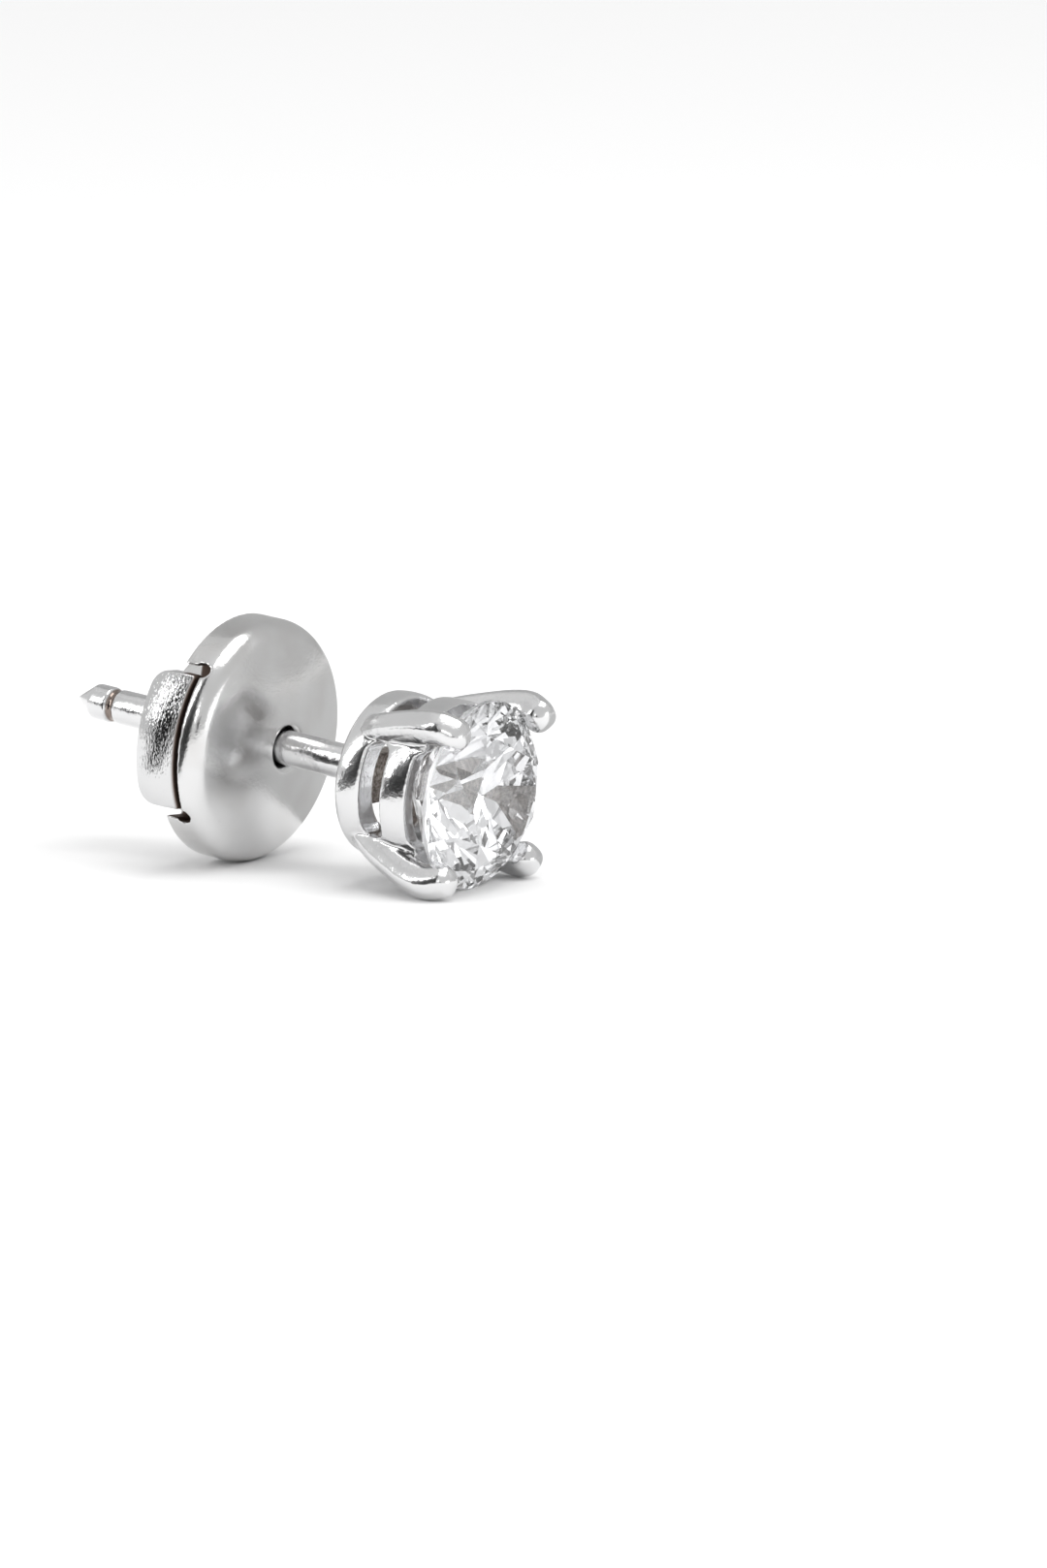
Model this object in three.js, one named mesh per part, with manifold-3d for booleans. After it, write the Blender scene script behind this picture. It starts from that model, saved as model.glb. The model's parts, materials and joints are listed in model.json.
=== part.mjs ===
// Stud earring: a round brilliant in a four-claw basket, its post, and a safety back with two push buttons.
// Lengths are millimetres and angles degrees. Y runs along the post: 0 is the back of the base ring, the
// stone's table faces -Y and the post's tip points to +Y. X runs from button to button and Z points up.
// At the end the stud is tipped until it rests on its lower claws and on the rim of its back.

import * as THREE from 'three';
import { ParametricGeometry } from 'three/addons/geometries/ParametricGeometry.js';
import { mergeVertices } from 'three/addons/utils/BufferGeometryUtils.js';
import Module from 'manifold-3d';

const wasm = await Module();
wasm.setup();

// Stone
const stoneDiameter = 5.3;
const tableWidth = 3.05; // across the corners of its eight sides
const girdleThickness = 0.16;
const culetWidth = 0.06;
const crownAngle = 34.5;
const pavilionAngle = 40.9;
const starShare = 0.53; // how far a star facet reaches from the table's edge to the girdle
const lowerHalfShare = 0.77; // how far a lower girdle facet reaches from the girdle to the culet

// Basket: base ring with its bridge, gallery ring and four claws
const baseRadius = 2.32;
const baseWall = 0.72;
const baseHeight = 0.85;
const baseBevel = 0.1;
const bridgeWidth = 1.4;
const bridgeThickness = 0.5;
const windowHeight = 0.78; // between base ring and gallery ring
const windowCornerRadius = 0.3;
const galleryWall = 0.45;
const galleryHeight = 0.85;
const galleryFillet = 0.25;
const webWidth = 0.12; // left standing between a window and a claw
const prongWidth = 0.8;
const prongFootDepth = 0.75;
const prongDepth = 0.98; // at the girdle
const prongSquareness = 2.8; // 2 is an oval section, more is squarer
const clawWidth = 0.9;
const clawRise = 0.38; // from the girdle to the middle of a claw's round end
const prongRise = 0.21; // from the base ring's front edge to where a prong leaves the wall
const prongBow = 0.09; // how far it bows out past a straight run to the girdle
const waistShare = 0.45; // where along that run the bow begins
const bendShare = 0.8; // where it ends, and the prong has its full depth
const girdleBite = 0.1; // how deep the girdle sits in a prong
const clawLean = 0.14; // how far a claw's end leans in over the crown

// Post
const postDiameter = 1.0;
const postLength = 10.73;
const postTipLength = 0.72;
const collarDiameter = 1.03;
const collarLength = 0.58;
const grooveDiameter = 0.84;
const grooveLength = 0.25;
const solderFillet = 0.22;

// Safety back: its housing, a dome with a skirt and a rear boss
const clutchDiameter = 7.0;
const domeRadius = 8.3;
const shoulderRadius = 0.65;
const skirtWidth = 0.75; // from the rim to the skirt's open edge
const bossRadius = 2.5;
const bossHeight = 0.75; // how far it stands out behind the skirt
const mouthFlare = 0.2; // how much wider the post hole is at its rounded mouth
const rimLip = 0.1; // from the rim to the window of a button
const windowSpan = 4.3;
const reliefRadius = 0.17; // the round notch in each front corner of a window
const reliefDepth = 0.22;

// Push buttons, each with a tongue that the post passes through
const buttonSpan = 3.8;
const buttonLength = 1.32;
const buttonDepth = 1.05; // radially
const buttonProud = 0.08;
const buttonCrowning = 0.13;
const buttonRearCorner = 0.5;
const buttonFrontCorner = 0.08;
const buttonTravel = 0.45;
const tongueWidth = 2.2;
const tongueThickness = 0.33;
const tongueEndWall = 0.35;

// Clearances
const seatGap = 0.04; // between the stone and its claws, measured at the girdle
const culetClearance = 0.46; // above the bridge
const pavilionClearance = 0.2; // between the gallery ring and the stone
const postClearance = 0.08; // radially, in the housing and in the tongues
const slotGap = 0.14; // between a button and the front edge of its window
const tongueGap = 0.06; // around each tongue
const pressGap = 0.05; // left between a pressed button and the boss

// Where the back sits on the post: the gap for the ear lobe, from the base ring to the dome
const lobeGap = 3.22;
const backTurn = 5; // the back turns freely on the post, and lies turned by this much

const metalDensity = 0.0155; // g/mm3, white gold of 18 carat
const stoneDensity = 0.00352; // g/mm3, diamond

const prongSides = 20;
const prongSteps = 22;
const capShare = 0.22; // of a prong's steps spent on its round end
const crownSteps = 8;
const cornerSteps = 6;
const ringSides = 64;
const postSides = 32;
const girdleSides = 64;
const weldDistance = 1e-5;

const stoneRadius = stoneDiameter / 2;
const postRadius = postDiameter / 2;
const clutchRadius = clutchDiameter / 2;
const holeRadius = postRadius + postClearance;
const slope = (angle) => Math.tan(THREE.MathUtils.degToRad(angle));

// A closed manifold from any three.js geometry, facing outwards whichever way its profile was walked
function solidOf(geometry) {
  const bare = new THREE.BufferGeometry();
  bare.setAttribute('position', geometry.getAttribute('position'));
  bare.setIndex(geometry.getIndex());
  const welded = mergeVertices(bare, weldDistance);
  const points = welded.getAttribute('position').array;
  const corners = welded.getIndex().array;
  const triangles = [];
  for (let i = 0; i < corners.length; i += 3) {
    const [a, b, c] = corners.subarray(i, i + 3);
    if (a !== b && b !== c && c !== a) {
      triangles.push(a, b, c);
    }
  }
  if (signedVolume(points, triangles) < 0) {
    triangles.reverse();
  }
  return new wasm.Manifold(new wasm.Mesh({
    numProp: 3,
    vertProperties: Float32Array.from(points),
    triVerts: Uint32Array.from(triangles),
  }));
}

function signedVolume(points, triangles) {
  const [a, b, c] = [new THREE.Vector3(), new THREE.Vector3(), new THREE.Vector3()];
  let volume = 0;
  for (let i = 0; i < triangles.length; i += 3) {
    a.fromArray(points, 3 * triangles[i]);
    b.fromArray(points, 3 * triangles[i + 1]);
    c.fromArray(points, 3 * triangles[i + 2]);
    volume += a.dot(b.cross(c)) / 6;
  }
  return volume;
}

function geometryOf(solid) {
  const { vertProperties, triVerts } = solid.getMesh();
  const geometry = new THREE.BufferGeometry();
  geometry.setAttribute('position', new THREE.BufferAttribute(Float32Array.from(vertProperties), 3));
  geometry.setIndex(new THREE.BufferAttribute(Uint32Array.from(triVerts), 1));
  const faceted = geometry.toNonIndexed();
  faceted.computeVertexNormals();
  return faceted;
}

function union(solids) {
  return solids.reduce((whole, solid) => whole.add(solid));
}

// Turned from a profile of [radius, place along Y] points
function turned(profile, sides) {
  return solidOf(new THREE.LatheGeometry(profile.map(([r, y]) => new THREE.Vector2(r, y)), sides));
}

function box(low, high) {
  const size = new THREE.Vector3().subVectors(high, low);
  const middle = new THREE.Vector3().addVectors(low, high).multiplyScalar(0.5);
  return new THREE.BoxGeometry(size.x, size.y, size.z).translate(middle.x, middle.y, middle.z);
}

// A rectangle with its own radius at each end of its height, as a shape whose y runs along the post
function roundedPlate(halfWidth, lowY, highY, lowRadius, highRadius) {
  const shape = new THREE.Shape();
  shape.moveTo(-halfWidth + lowRadius, lowY);
  shape.lineTo(halfWidth - lowRadius, lowY);
  shape.absarc(halfWidth - lowRadius, lowY + lowRadius, lowRadius, -Math.PI / 2, 0);
  shape.lineTo(halfWidth, highY - highRadius);
  shape.absarc(halfWidth - highRadius, highY - highRadius, highRadius, 0, Math.PI / 2);
  shape.lineTo(-halfWidth + highRadius, highY);
  shape.absarc(-halfWidth + highRadius, highY - highRadius, highRadius, Math.PI / 2, Math.PI);
  shape.lineTo(-halfWidth, lowY + lowRadius);
  shape.absarc(-halfWidth + lowRadius, lowY + lowRadius, lowRadius, Math.PI, 1.5 * Math.PI);
  return shape;
}

// A shape pushed out sideways from the post, from one radius to another, then turned about the post
function pushedOut(shape, fromRadius, toRadius, turn) {
  const plate = new THREE.ExtrudeGeometry(shape, {
    depth: toRadius - fromRadius,
    bevelEnabled: false,
    curveSegments: cornerSteps,
  });
  plate.translate(0, 0, fromRadius);
  plate.rotateY(turn);
  return solidOf(plate);
}

const FAR = Math.PI / 2; // turn of what faces +X
const NEAR = -Math.PI / 2; // turn of what faces -X

// Round brilliant, table up, middle of the girdle at its origin. Each facet is ground off a round blank.
function brilliant(radius) {
  const girdle = girdleThickness / 2;
  const tableRadius = tableWidth / 2;
  const tableEdge = tableRadius * Math.cos(Math.PI / 8);
  const tableHeight = girdle + (radius - tableRadius) * slope(crownAngle);
  const culetHeight = -girdle - (radius - culetWidth / 2) * slope(pavilionAngle);
  const starRadius = tableEdge + starShare * (radius - tableEdge);
  const starHeight = girdle + (radius - starRadius * Math.cos(Math.PI / 8)) * slope(crownAngle);
  const lowerRadius = (1 - lowerHalfShare) * radius;
  const lowerHeight = -girdle - (radius - lowerRadius * Math.cos(Math.PI / 8)) * slope(pavilionAngle);
  const halfFacet = Math.cos(Math.PI / 16);
  const starAngle = Math.atan2(tableHeight - starHeight, starRadius - tableEdge);
  const upperAngle = Math.atan2(starHeight - girdle, (radius - starRadius) * halfFacet);
  const lowerAngle = Math.atan2(lowerHeight + girdle, (radius - lowerRadius) * halfFacet);

  const blank = new THREE.CylinderGeometry(radius, radius, tableHeight - culetHeight, girdleSides);
  blank.rotateX(Math.PI / 2);
  blank.rotateZ(Math.PI / 2);
  blank.translate(0, 0, (tableHeight + culetHeight) / 2);
  let stone = solidOf(blank);

  // The lap's flat face: through a point at the given radius and height, tilted from the girdle's plane
  const grind = (turn, tilt, atRadius, atHeight) => {
    const reach = 4 * radius;
    const lap = new THREE.BoxGeometry(reach, reach, reach);
    lap.translate(0, 0, reach / 2);
    lap.rotateY(tilt);
    lap.translate(atRadius, 0, atHeight);
    lap.rotateZ(turn);
    stone = stone.subtract(solidOf(lap));
  };
  for (let main = 0; main < 8; main += 1) {
    const turn = (main * Math.PI) / 4;
    grind(turn, THREE.MathUtils.degToRad(crownAngle), radius, girdle);
    grind(turn + Math.PI / 8, starAngle, tableEdge, tableHeight);
    grind(turn, Math.PI - THREE.MathUtils.degToRad(pavilionAngle), radius, -girdle);
    for (const side of [-1, 1]) {
      grind(turn + (side * Math.PI) / 16, upperAngle, radius * halfFacet, girdle);
      grind(turn + (side * Math.PI) / 16, Math.PI + lowerAngle, radius * halfFacet, -girdle);
    }
  }
  return stone;
}

// Heights in the basket, measured forwards from the back of the base ring
const girdleHeight = bridgeThickness + culetClearance + (stoneRadius - culetWidth / 2) * slope(pavilionAngle)
  + girdleThickness / 2;
const galleryBottom = baseHeight + windowHeight;
const galleryTop = galleryBottom + galleryHeight;

function pavilionRadiusAt(height) {
  return stoneRadius - (girdleHeight - girdleThickness / 2 - height) / slope(pavilionAngle);
}

// The gallery ring stays clear of the stone's pavilion, which is widest at the ring's front edge
const galleryInnerRadius = pavilionRadiusAt(galleryTop) + pavilionClearance;
const galleryRadius = galleryInnerRadius + galleryWall;

// The stone in place, table towards -Y, grown by a gap where it cuts its own seat in the claws
function seatedStone(gap) {
  return brilliant(stoneRadius + gap).rotate([90, 0, 0]).translate([0, -girdleHeight, 0]);
}

// Base ring and gallery ring are one turned wall, opened by windows between the prongs
function basketWall() {
  const wallEnd = galleryTop + galleryFillet;
  const wall = turned([
    [baseRadius - baseWall, 0],
    [baseRadius - baseBevel, 0],
    [baseRadius, -baseBevel],
    [baseRadius, -baseHeight],
    [galleryRadius, -galleryBottom],
    [galleryRadius, -wallEnd],
    [galleryInnerRadius, -wallEnd],
    [galleryInnerRadius, -galleryBottom],
    [baseRadius - baseWall, -baseHeight],
    [baseRadius - baseWall, 0],
  ], ringSides);
  const halfWidth = (galleryRadius - prongWidth / 2) * Math.SQRT1_2 - webWidth;
  const corner = Math.min(windowCornerRadius, windowHeight / 2, halfWidth / 2);
  const lower = roundedPlate(halfWidth, -galleryBottom, -baseHeight, corner, corner);
  const upperEnd = -wallEnd - galleryFillet;
  const upper = roundedPlate(halfWidth, upperEnd, -galleryTop, galleryFillet / 2, galleryFillet);
  const inside = Math.min(galleryInnerRadius, baseRadius - baseWall) * Math.SQRT1_2;
  const outside = Math.max(galleryRadius, baseRadius) + galleryWall;
  const windows = [lower, upper].flatMap((shape) => (
    [0, 1, 2, 3].map((side) => pushedOut(shape, inside, outside, (side * Math.PI) / 2))
  ));
  return wall.subtract(union(windows));
}

// The prong's middle line in its own radial plane, as [radius, height] points
function prongLine() {
  const root = [baseRadius - prongFootDepth / 2, baseHeight / 2];
  const foot = [baseRadius, baseHeight + prongRise];
  const shoulder = [stoneRadius + prongDepth / 2 - girdleBite, girdleHeight];
  const bowed = (share) => [
    THREE.MathUtils.lerp(foot[0], shoulder[0], share) + prongBow,
    THREE.MathUtils.lerp(foot[1], shoulder[1], share),
  ];
  const end = [shoulder[0] - clawLean, shoulder[1] + clawRise];
  return new THREE.CatmullRomCurve3(
    [root, foot, bowed(waistShare), bowed(bendShare), shoulder, end]
      .map(([r, h]) => new THREE.Vector3(r, h, 0)),
  );
}

// A rounded bar along that line, ending in a round claw
function prong(turn) {
  const line = prongLine();
  const capStart = 1 - capShare;
  const radial = new THREE.Vector3(Math.cos(turn), 0, Math.sin(turn));
  const sideways = new THREE.Vector3(-Math.sin(turn), 0, Math.cos(turn));
  const forwards = new THREE.Vector3(0, -1, 0);
  const rounded = (value) => Math.sign(value) * Math.abs(value) ** (2 / prongSquareness);
  const surface = (along, around, target) => {
    const onLine = Math.min(along / capStart, 1);
    const capAngle = (Math.max(along - capStart, 0) / capShare) * (Math.PI / 2);
    const middle = line.getPointAt(onLine);
    const tangent = line.getTangentAt(onLine);
    middle.addScaledVector(tangent, (clawWidth / 2) * Math.sin(capAngle));
    const size = along === 0 ? 0 : Math.cos(capAngle);
    const halfWidth = THREE.MathUtils.lerp(prongWidth, clawWidth, onLine ** 3) / 2;
    const fullDepth = THREE.MathUtils.lerp(prongFootDepth, prongDepth, Math.min(onLine / bendShare, 1));
    const halfDepth = THREE.MathUtils.lerp(fullDepth, clawWidth, onLine ** 3) / 2;
    const angle = around * 2 * Math.PI;
    const depth = size * halfDepth * rounded(Math.sin(angle));
    const width = size * halfWidth * rounded(Math.cos(angle));
    target.set(0, 0, 0);
    target.addScaledVector(radial, middle.x + depth * tangent.y);
    target.addScaledVector(forwards, middle.y - depth * tangent.x);
    target.addScaledVector(sideways, width);
  };
  return solidOf(new ParametricGeometry(surface, prongSteps, prongSides));
}

// The post and its fillet of solder, from inside the bridge to the pointed tip
function post() {
  const inside = -bridgeThickness / 2;
  const tipStart = postLength - postTipLength;
  const grooveFront = tipStart - collarLength - grooveLength;
  const fillet = Array.from({ length: cornerSteps + 1 }, (_, step) => {
    const angle = (step / cornerSteps) * (Math.PI / 2);
    return [
      postRadius + solderFillet * (1 - Math.sin(angle)),
      solderFillet * (1 - Math.cos(angle)),
    ];
  });
  return turned([
    [0, inside],
    [postRadius + solderFillet, inside],
    ...fillet,
    [postRadius, grooveFront],
    [grooveDiameter / 2, grooveFront],
    [grooveDiameter / 2, tipStart - collarLength],
    [collarDiameter / 2, tipStart - collarLength],
    [collarDiameter / 2, tipStart],
    [0, postLength],
  ], postSides);
}

function settingWithPost() {
  const bridgeReach = baseRadius - baseWall / 2;
  const bridge = solidOf(box(
    new THREE.Vector3(-bridgeReach, -bridgeThickness, -bridgeWidth / 2),
    new THREE.Vector3(bridgeReach, 0, bridgeWidth / 2),
  ));
  const prongs = [1, 3, 5, 7].map((eighth) => prong((eighth * Math.PI) / 4));
  return union([basketWall(), bridge, post(), ...prongs]).subtract(seatedStone(seatGap));
}

// Places in the safety back, measured backwards from the front of its dome
const shoulderAngle = Math.asin((clutchRadius - shoulderRadius) / (domeRadius - shoulderRadius));
const rimPlace = domeRadius - (domeRadius - shoulderRadius) * Math.cos(shoulderAngle);
const skirtEnd = rimPlace + skirtWidth;
const bossEnd = skirtEnd + bossHeight;
const windowFront = rimPlace + rimLip;
const buttonFront = windowFront + slotGap;
const buttonRadius = clutchRadius + buttonProud;
const buttonInside = buttonRadius - buttonDepth;
const pocketInside = buttonInside - buttonTravel - pressGap;
const firstTongue = buttonFront + tongueGap;
const secondTongue = firstTongue + tongueThickness + tongueGap;

// Points along an arc seen as [radius, place along Y]; angle 0 faces the stone and a quarter turn faces out
function arc(middle, radius, fromAngle, toAngle, steps) {
  return Array.from({ length: steps + 1 }, (_, step) => {
    const angle = THREE.MathUtils.lerp(fromAngle, toAngle, step / steps);
    return [middle[0] + radius * Math.sin(angle), middle[1] - radius * Math.cos(angle)];
  });
}

function clutchHousing() {
  const mouthRadius = holeRadius + mouthFlare;
  const domeStart = Math.asin(mouthRadius / domeRadius);
  const dome = arc([0, domeRadius], domeRadius, domeStart, shoulderAngle, crownSteps);
  const shoulderMiddle = [clutchRadius - shoulderRadius, rimPlace];
  const shoulder = arc(shoulderMiddle, shoulderRadius, shoulderAngle, Math.PI / 2, cornerSteps);
  const mouth = arc([mouthRadius, dome[0][1] + mouthFlare], mouthFlare, -Math.PI / 2, 0, cornerSteps);
  const blank = turned([
    ...mouth.slice(0, -1),
    ...dome,
    ...shoulder.slice(1),
    [clutchRadius, skirtEnd],
    [bossRadius, skirtEnd],
    [bossRadius, bossEnd],
    [holeRadius, bossEnd],
    mouth[0],
  ], ringSides);

  const past = bossEnd + buttonLength;
  const window = new THREE.Shape();
  window.moveTo(-windowSpan / 2, windowFront);
  window.lineTo(windowSpan / 2, windowFront);
  window.lineTo(windowSpan / 2, past);
  window.lineTo(-windowSpan / 2, past);
  const notches = [-1, 1].map((side) => {
    const middle = side * (windowSpan / 2 - reliefRadius / 2);
    const roundPlace = windowFront - reliefDepth + reliefRadius;
    const notch = new THREE.Shape();
    notch.moveTo(middle + reliefRadius, windowFront + reliefDepth);
    notch.lineTo(middle - reliefRadius, windowFront + reliefDepth);
    notch.lineTo(middle - reliefRadius, roundPlace);
    notch.absarc(middle, roundPlace, reliefRadius, Math.PI, 2 * Math.PI);
    return notch;
  });
  const pockets = [NEAR, FAR].flatMap((turn) => (
    [window, ...notches].map((shape) => pushedOut(shape, pocketInside, clutchDiameter, turn))
  ));
  const channel = solidOf(box(
    new THREE.Vector3(-buttonInside, firstTongue - tongueGap, -tongueWidth / 2 - tongueGap),
    new THREE.Vector3(buttonInside, secondTongue + tongueThickness + tongueGap, tongueWidth / 2 + tongueGap),
  ));
  return blank.subtract(union([...pockets, channel]));
}

// A slab of the crowned rim with its tongue. The slot in the tongue leaves the post free over the travel.
function pushButton(turn, tonguePlace) {
  const towards = turn === FAR ? 1 : -1;
  const buttonEnd = buttonFront + buttonLength;
  const halfLength = buttonLength / 2;
  const crownRadius = (halfLength ** 2 + buttonCrowning ** 2) / (2 * buttonCrowning);
  const crownAngleEnd = Math.asin(halfLength / crownRadius);
  const crowned = Array.from({ length: crownSteps + 1 }, (_, step) => {
    const angle = THREE.MathUtils.lerp(-crownAngleEnd, crownAngleEnd, step / crownSteps);
    return [
      buttonRadius - crownRadius * (1 - Math.cos(angle)),
      buttonFront + halfLength + crownRadius * Math.sin(angle),
    ];
  });
  const blank = turned([[0, buttonFront], ...crowned, [0, buttonEnd]], 2 * ringSides);
  const outline = roundedPlate(buttonSpan / 2, buttonFront, buttonEnd, buttonFrontCorner, buttonRearCorner);
  const slab = pushedOut(outline, buttonInside, clutchDiameter, turn).intersect(blank);

  // A bar across the housing, from one reach along the button's direction to another
  const bar = (fromReach, toReach, gap, halfWidth) => {
    const reaches = [towards * fromReach, towards * toReach];
    return solidOf(box(
      new THREE.Vector3(Math.min(...reaches), tonguePlace - gap, -halfWidth),
      new THREE.Vector3(Math.max(...reaches), tonguePlace + tongueThickness + gap, halfWidth),
    ));
  };
  const tongue = bar(-holeRadius - tongueEndWall, buttonInside + pressGap, 0, tongueWidth / 2);
  const slot = bar(0, buttonTravel, tongueGap, holeRadius);
  const bore = turned([
    [0, tonguePlace - tongueGap],
    [holeRadius, tonguePlace - tongueGap],
    [holeRadius, tonguePlace + tongueThickness + tongueGap],
    [0, tonguePlace + tongueThickness + tongueGap],
  ], postSides);
  const opening = union([bore, bore.translate([towards * buttonTravel, 0, 0]), slot]);
  return slab.add(tongue.subtract(opening));
}

// The tilt that lays the lower outline's edge under the centre of mass flat on the ground
function restingTilt(outline, balance) {
  const ordered = [...outline].sort((p, q) => p.x - q.x || p.y - q.y);
  const hull = [];
  for (const point of ordered) {
    while (hull.length > 1) {
      const [p, q] = hull.slice(-2);
      if ((q.x - p.x) * (point.y - p.y) - (q.y - p.y) * (point.x - p.x) > 0) {
        break;
      }
      hull.pop();
    }
    hull.push(point);
  }
  const next = hull.findIndex((point) => point.x > balance);
  return -Math.atan2(hull[next].y - hull[next - 1].y, hull[next].x - hull[next - 1].x);
}

function metal(colour, roughness) {
  return new THREE.MeshStandardMaterial({ color: colour, roughness, metalness: 1 });
}

function piece(name, solid, material) {
  const mesh = new THREE.Mesh(geometryOf(solid), material);
  mesh.name = name;
  return mesh;
}

const gem = new THREE.MeshStandardMaterial({ color: 0xf3f6fa, roughness: 0.03, metalness: 0 });
const front = new THREE.Group();
front.add(
  piece('setting_with_post', settingWithPost(), metal(0xd8d8da, 0.16)),
  piece('round_brilliant', seatedStone(0), gem),
);

const back = new THREE.Group();
back.position.y = lobeGap;
back.rotation.y = THREE.MathUtils.degToRad(backTurn);
back.add(
  piece('clutch_housing', clutchHousing(), metal(0xd2d2d5, 0.24)),
  piece('push_button_near', pushButton(NEAR, firstTongue), metal(0xd6d6d9, 0.28)),
  piece('push_button_far', pushButton(FAR, secondTongue), metal(0xd6d6d9, 0.28)),
);

const stud = new THREE.Group();
stud.add(front, back);
stud.updateMatrixWorld(true);

// Seen from the side, as points of [place along Y, height], with the place of the centre of mass
const outline = [];
let mass = 0;
let moment = 0;
stud.traverse((node) => {
  if (!node.isMesh) {
    return;
  }
  const points = node.geometry.clone().applyMatrix4(node.matrixWorld).getAttribute('position');
  const corners = Array.from({ length: points.count }, (_, index) => index);
  const weight = signedVolume(points.array, corners) * (node.material === gem ? stoneDensity : metalDensity);
  const span = new THREE.Box3().setFromBufferAttribute(points);
  mass += weight;
  moment += (weight * (span.min.y + span.max.y)) / 2;
  corners.forEach((index) => outline.push(new THREE.Vector2(points.getY(index), points.getZ(index))));
});
stud.rotation.x = restingTilt(outline, moment / mass);

// The origin is the middle of the bounding box's underside
const bounds = new THREE.Box3().setFromObject(stud, true);
const centre = bounds.getCenter(new THREE.Vector3());
stud.position.set(-centre.x, -centre.y, -bounds.min.z);

const earring = new THREE.Group();
earring.add(stud);

export default earring;
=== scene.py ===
# %% [markdown]
# # A claw-set stud earring with a push-button safety back
# A stud earring is four things: a cut stone, the basket that grips it, the post that goes through the ear
# and the back that locks on the post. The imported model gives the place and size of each. This lesson puts
# smoother, finely finished metal over that frame and lights it as a jeweller's photograph.

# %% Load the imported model
import json
import math

import bmesh
import bpy
import numpy as np
from mathutils import Matrix, Quaternion, Vector


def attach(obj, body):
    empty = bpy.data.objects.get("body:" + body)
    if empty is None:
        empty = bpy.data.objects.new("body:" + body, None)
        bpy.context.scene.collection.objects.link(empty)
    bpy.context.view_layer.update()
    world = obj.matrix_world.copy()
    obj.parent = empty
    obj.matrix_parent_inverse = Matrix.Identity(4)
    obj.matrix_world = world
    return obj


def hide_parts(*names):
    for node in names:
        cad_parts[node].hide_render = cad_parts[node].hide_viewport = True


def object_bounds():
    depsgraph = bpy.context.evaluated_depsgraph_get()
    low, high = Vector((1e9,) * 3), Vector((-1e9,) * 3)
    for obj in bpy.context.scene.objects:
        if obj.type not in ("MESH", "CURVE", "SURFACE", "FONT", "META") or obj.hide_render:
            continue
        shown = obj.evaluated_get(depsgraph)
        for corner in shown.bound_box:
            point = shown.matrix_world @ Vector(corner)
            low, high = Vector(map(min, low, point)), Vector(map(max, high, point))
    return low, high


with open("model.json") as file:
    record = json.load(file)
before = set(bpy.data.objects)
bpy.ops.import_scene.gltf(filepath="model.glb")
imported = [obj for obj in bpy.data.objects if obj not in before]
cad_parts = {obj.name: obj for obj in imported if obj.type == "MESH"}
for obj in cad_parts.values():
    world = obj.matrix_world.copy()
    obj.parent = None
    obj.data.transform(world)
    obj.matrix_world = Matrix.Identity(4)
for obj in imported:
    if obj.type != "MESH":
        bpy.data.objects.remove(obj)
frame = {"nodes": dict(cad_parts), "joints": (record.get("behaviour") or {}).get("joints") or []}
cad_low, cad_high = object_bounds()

print("nodes:", sorted(frame["nodes"]))
print("size in mm:", [round(1000 * s, 2) for s in cad_high - cad_low])

# %% [markdown]
# ## Where things are
# The earring lies tipped, on its stone's girdle and the rim of its back, so nothing is square to the world.
# Every shape is easier to write beside the post, in millimetres: Y runs along the post from the back of the
# base ring, and X runs from one push button to the other. The joints of the model give both directions, and
# the post's tip is the vertex furthest along Y. A Place keeps that, and carries finished points to the world.

# %% Places beside the post
MM = 0.001
POST_LENGTH = 10.73
LOBE_GAP = 3.22  # from the base ring to the dome of the back

joints = {joint["name"]: joint for joint in frame["joints"]}
along_post = Vector(joints["back_slide"]["axis"]).normalized()
between_buttons = Vector(joints["near_button_press"]["axis"]).normalized()
setting_points = np.array([v.co for v in frame["nodes"]["setting_with_post"].data.vertices])
post_tip = Vector(setting_points[setting_points[:, 1].argmax()])
post_tip.x = 0


class Place:
    """An origin in metres and three directions, for shapes that are worked out in millimetres."""

    def __init__(self, origin, across, along):
        upwards = across.cross(along).normalized()
        self.turn = Matrix((along.cross(upwards), along, upwards)).transposed()
        self.origin = origin
        self.matrix = Matrix.Translation(origin) @ self.turn.to_4x4() @ Matrix.Scale(MM, 4)


front = Place(post_tip - along_post * POST_LENGTH * MM, Vector((1, 0, 0)), along_post)
back = Place(front.origin + along_post * LOBE_GAP * MM, between_buttons, along_post)
print("back of the base ring, mm:", [round(c / MM, 3) for c in front.origin])

# %% [markdown]
# ## Surfaces from formulas
# A turned or swept surface is a function of two parameters. numpy works it out for a whole grid at once:
# rows run along the profile and columns run round. A ring closes on itself both ways. Any other shell draws
# its first and last rows together into one point, a pole. Merging the doubles closes both kinds.

# %% Shells, slabs and turned profiles
ROUND_SIDES = 256  # a polished ring shows its sides unless there are hundreds
WIRE_SIDES = 96
BORE_SIDES = 64
CORNER_STEPS = 12
DOUBLED = 1e-6  # millimetres, as is the next
COLLAPSED = 1e-7


def shell(grid, ring=False):
    """A closed mesh through a grid of points [row, column, xyz]: each cell is a face, columns wrap round,
    and rows wrap too where ring is true."""
    rows, columns = grid.shape[:2]
    row = np.arange(rows if ring else rows - 1)[:, None]
    column = np.arange(columns)[None, :]
    following, beside = (row + 1) % rows, (column + 1) % columns
    corners = [(row, column), (row, beside), (following, beside), (following, column)]
    faces = np.stack([r * columns + c for r, c in corners], axis=-1).reshape(-1, 4)
    mesh = bpy.data.meshes.new("shell")
    mesh.from_pydata(grid.reshape(-1, 3).tolist(), [], faces.tolist())
    return tidied(mesh)


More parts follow.
